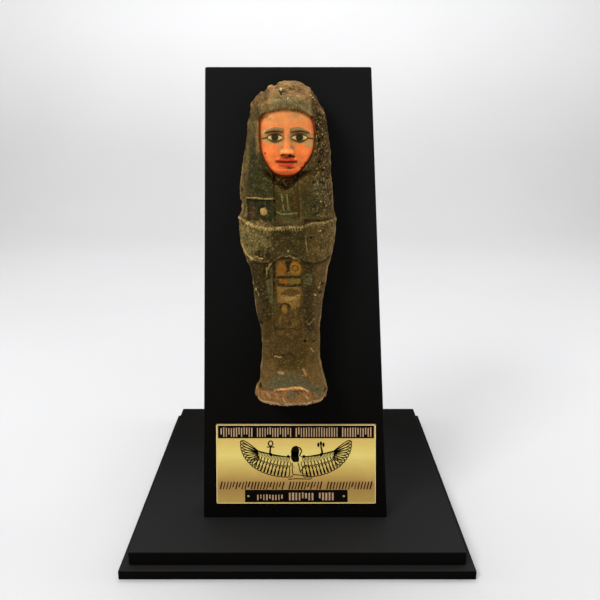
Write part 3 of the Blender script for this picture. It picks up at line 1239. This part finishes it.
FIGURE_LINES = (  # width in mm, places
    (0.7, (0.516, 0.276), (0.530, 0.301), (0.536, 0.331), (0.529, 0.354), (0.522, 0.388)),
    (0.3, (0.519, 0.309), (0.527, 0.309)),
    (0.55, (0.476, 0.475), (0.476, 0.56), (0.480, 0.625)),
    (0.55, (0.512, 0.475), (0.520, 0.53), (0.524, 0.575), (0.530, 0.60)),
    (0.55, (0.524, 0.595), (0.552, 0.52), (0.562, 0.505), (0.578, 0.52), (0.586, 0.60), (0.592, 0.645)),
    (0.55, (0.480, 0.625), (0.55, 0.637), (0.592, 0.645), (0.600, 0.665), (0.585, 0.683)),
    (0.55, (0.585, 0.683), (0.50, 0.678), (0.452, 0.686), (0.466, 0.655), (0.480, 0.640)),
    (0.3, (0.530, 0.60), (0.552, 0.617), (0.576, 0.615), (0.586, 0.60)),
    (0.22, (0.486, 0.500), (0.488, 0.545)),
)


def draw_figure(relief):
    """A kneeling figure seen from the side, with a dark wig, between the wings."""
    head = 0.502, 0.332
    relief.fill(arc(head, (0.034, 0.072), 90, 270, 12) + arc(head, (0.018, 0.072), -90, 90, 9))
    relief.fill([(0.469, 0.335), (0.510, 0.335), (0.520, 0.42), (0.516, 0.465), (0.482, 0.465),
                 (0.468, 0.42)])
    for width, *places in FIGURE_LINES:
        relief.line(places, width)
    for side in (-1, 1):
        relief.line(mirrored(side, [(0.52, 0.385), (0.545, 0.402), (0.62, 0.39), (0.66, 0.375)]), 0.4)
        for bead in mirrored(side, [(0.549, 0.395), (0.657, 0.372)]):
            relief.fill(arc(bead, (0.009, 0.0198), 0, 330, 12))


def draw_emblems(relief):
    """A ring on a stem over the left wing and a flower on a stem over the right one."""
    relief.line(arc((0.341, 0.232), (0.014, 0.032), -90, 270, 15), 0.75)
    relief.line([(0.341, 0.262), (0.336, 0.36)], (0.7, 1.2))
    relief.line([(0.318, 0.276), (0.364, 0.276)], 0.7)
    relief.line([(0.666, 0.365), (0.661, 0.31), (0.656, 0.26)], (1.3, 0.8))
    for aside in (-0.016, 0.0, 0.016):
        relief.fill(arc((0.656 + aside, 0.232 + abs(aside)), (0.0075, 0.030), 0, 340, 9))


def draw_bands(relief):
    for left, right, top, bottom in ((0.012, 0.988, 0.010, 0.166), (0.179, 0.823, 0.822, 0.982)):
        relief.fill([(left, top), (right, top), (right, bottom), (left, bottom)])


def draw_picture(relief):
    for side in (-1, 1):
        draw_wing(relief, side)
    draw_figure(relief)
    draw_emblems(relief)


def draw_dark_strokes(relief):
    stroke_row(relief, 0.020, 0.980, 0.712, 0.815, (21, 11, 15), 0.012, 0.72, 3)


def draw_pale_strokes(relief):
    stroke_row(relief, 0.024, 0.976, 0.030, 0.148, (13, 14, 17, 12), 0.0, 0.58, 4)
    stroke_row(relief, 0.250, 0.420, 0.880, 0.955, (9,), 0.0, 0.75, 5)
    stroke_row(relief, 0.450, 0.740, 0.853, 0.957, (8, 5), 0.0, 1.0, 6)
    for dot in (0.200, 0.800):
        relief.fill(arc((dot, 0.903), (0.007, 0.0125), 0, 330, 12))


def draw_rim(relief):
    for ends in (((0, 0.004), (1, 0.004)), ((0, 0.996), (1, 0.996)),
                 ((0.003, 0), (0.003, 1)), ((0.997, 0), (0.997, 1))):
        relief.line(ends, 0.45)


def build_plate_details():
    plate, black = Plate(), printed("printed_black")
    for name, draw, proud, material, slot in (
        ("plate_bands", draw_bands, BAND_PROUD, black, "black_lacquer"),
        ("plate_picture", draw_picture, PROUD, black, "black_lacquer"),
        ("plate_strokes_dark", draw_dark_strokes, PROUD, printed("printed_brown"), "black_lacquer"),
        ("plate_strokes_pale", draw_pale_strokes, PALE_PROUD, printed("printed_tan"), "engraved_brass"),
        ("plate_rim", draw_rim, PROUD, printed("bright_edge"), "engraved_brass"),
    ):
        relief = Relief(plate, proud)
        draw(relief)
        relief.piece(name, material, slot)


# ---- setting, camera and light, in metres

FLOOR = {"width": 6.0, "near": -3.0, "far": 1.6, "height": 4.0, "bend": 0.7}
CAMERA = {"place": (0.0015, -0.4273, 0.2553), "tilt": 74.17, "lens": 41.29, "sensor": 36}
SUBJECT = (0, -0.075, 0.17)
WORLD_LIGHT = 0.45
LIGHTS = (  # name, place, target, width, height, watts
    ("key", (-0.55, -0.8, 0.85), SUBJECT, 0.35, 0.35, 9),
    ("fill", (0.7, -0.9, 0.35), SUBJECT, 0.7, 0.7, 1.8),
    ("top", (0.0, 0.0, 1.3), (0, 0, 0), 0.9, 0.9, 3),
    ("backdrop", (0.0, 0.6, 1.2), (0, 0.9, 0), 1.8, 0.6, 14),
    ("left_edge", (-0.8, 0.0, 0.3), SUBJECT, 0.3, 0.3, 2.0),
    ("right_edge", (0.8, 0.0, 0.2), SUBJECT, 0.3, 0.3, 3.5),
)


def build_setting():
    """A pale floor that sweeps up behind into a pale wall."""
    bend, far = FLOOR["bend"], FLOOR["far"]
    profile = [(FLOOR["near"], 0.0), (far - bend, 0.0)]
    for turn in np.linspace(0, math.pi / 2, 17)[1:]:
        profile.append((far - bend + bend * math.sin(turn), bend - bend * math.cos(turn)))
    profile.append((far, FLOOR["height"]))
    sides = (-FLOOR["width"] / 2, FLOOR["width"] / 2)
    points = [(x / MM, y / MM, z / MM) for y, z in profile for x in sides]
    faces = [(2 * k, 2 * k + 1, 2 * k + 3, 2 * k + 2) for k in range(len(profile) - 1)]
    floor = add_mesh("setting", points, faces, plain_floor())


def build_camera():
    camera = bpy.data.cameras.new("camera")
    camera.sensor_width = CAMERA["sensor"]
    camera.lens = CAMERA["lens"]
    camera.clip_start = 0.01
    holder = bpy.data.objects.new("camera", camera)
    holder.location = CAMERA["place"]
    holder.rotation_euler = (math.radians(CAMERA["tilt"]), 0, 0)
    bpy.context.scene.collection.objects.link(holder)
    bpy.context.scene.camera = holder


def build_light():
    world = bpy.data.worlds.new("studio")
    world.use_nodes = True
    background = world.node_tree.nodes["Background"].inputs
    background["Color"].default_value = (1, 1, 1, 1)
    background["Strength"].default_value = WORLD_LIGHT
    bpy.context.scene.world = world
    for name, place, target, width, height, watts in LIGHTS:
        lamp = bpy.data.lights.new(name, "AREA")
        lamp.shape = "RECTANGLE"
        lamp.size, lamp.size_y = width, height
        lamp.energy = watts
        holder = bpy.data.objects.new(name, lamp)
        holder.location = place
        look = Vector(target) - Vector(place)
        holder.rotation_euler = look.to_track_quat("-Z", "Y").to_euler()
        bpy.context.scene.collection.objects.link(holder)
    bpy.context.scene.view_settings.view_transform = "Standard"


build_stand()
build_plate_details()
build_figurine()
build_setting()
build_camera()
build_light()
